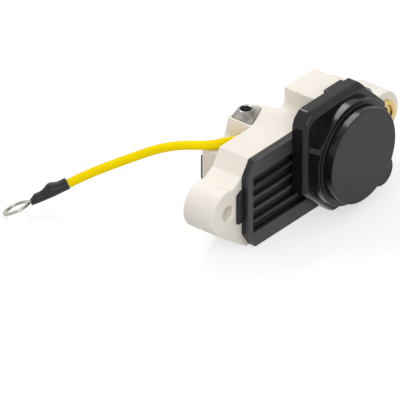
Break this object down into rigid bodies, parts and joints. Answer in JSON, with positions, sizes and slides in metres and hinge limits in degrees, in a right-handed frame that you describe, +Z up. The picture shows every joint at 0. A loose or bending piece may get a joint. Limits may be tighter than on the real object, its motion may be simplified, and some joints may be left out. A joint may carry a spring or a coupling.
{
  "type": "generator voltage regulator",
  "caption": "Brush-type generator voltage regulator: eared carrier, finned heat sink, round-lidded housing, sprung carbon brushes, screw terminal and a lead with a ring terminal.",
  "frame": {"origin": "middle of the part's footprint at its lowest level, halfway between the ear holes", "axes": "+X from the plain ear to the bushed ear, -Y out of the lid at the front, +Y out of the brush holder at the back, +Z up towards the screw terminal"},
  "size_m": [0.1247, 0.0975, 0.0452],
  "materials": {
    "cream_plastic": "fine satin moulding",
    "dark_aluminium": "dark coated casting",
    "black_plastic": "satin black",
    "seal_rubber": "matte",
    "bush_brass": "turned",
    "tinned_metal": "tin plated",
    "screw_steel": "zinc plated",
    "pad_rubber": "matte",
    "plate_aluminium": "satin",
    "ceramic": "fired ceramic",
    "chip_epoxy": "matte moulding",
    "capacitor_ceramic": "fired ceramic",
    "strip_brass": "stamped",
    "wire_aluminium": "drawn wire",
    "copper": "stranded copper",
    "carbon": "pressed carbon",
    "spring_steel": "drawn wire",
    "yellow_insulation": "smooth insulation",
    "shrink_sleeve": "heat-shrunk"
  },
  "bodies": {
    "holder": {"carrier": "cream_plastic", "heat_sink": "dark_aluminium", "housing": "black_plastic", "lid": "black_plastic", "lid_seal": "seal_rubber", "ear_bush": "bush_brass", "screw_terminal": "tinned_metal", "housing_screws": "screw_steel", "thermal_pad": "pad_rubber", "base_plate": "plate_aluminium", "circuit_plate": "ceramic", "control_chip": "chip_epoxy", "power_chip": "chip_epoxy", "flyback_diode": "chip_epoxy", "capacitors": "capacitor_ceramic", "contact_pins": "strip_brass", "bond_wires": "wire_aluminium", "brush_strip_left": "strip_brass", "brush_strip_right": "strip_brass", "terminal_strip": "strip_brass", "lead_strip": "strip_brass", "lead_core": "copper", "spring_left": "spring_steel", "spring_right": "spring_steel", "pigtail_left": "copper", "pigtail_right": "copper", "lead": "yellow_insulation", "lead_sleeve": "shrink_sleeve", "crimped_core": "copper", "ring_terminal": "tinned_metal"},
    "left_brush": {"brush_left": "carbon"},
    "right_brush": {"brush_right": "carbon"}
  },
  "joints": [
    {"name": "left_brush_slide", "type": "slide", "parent": "holder", "child": "left_brush", "axis": [0, -1, 0], "range_m": [0, 0.008], "stiffness_N_per_m": 250, "springref_m": -0.008, "deforming": ["spring_left", "pigtail_left"]},
    {"name": "right_brush_slide", "type": "slide", "parent": "holder", "child": "right_brush", "axis": [0, -1, 0], "range_m": [0, 0.008], "stiffness_N_per_m": 250, "springref_m": -0.008, "deforming": ["spring_right", "pigtail_right"]}
  ]
}
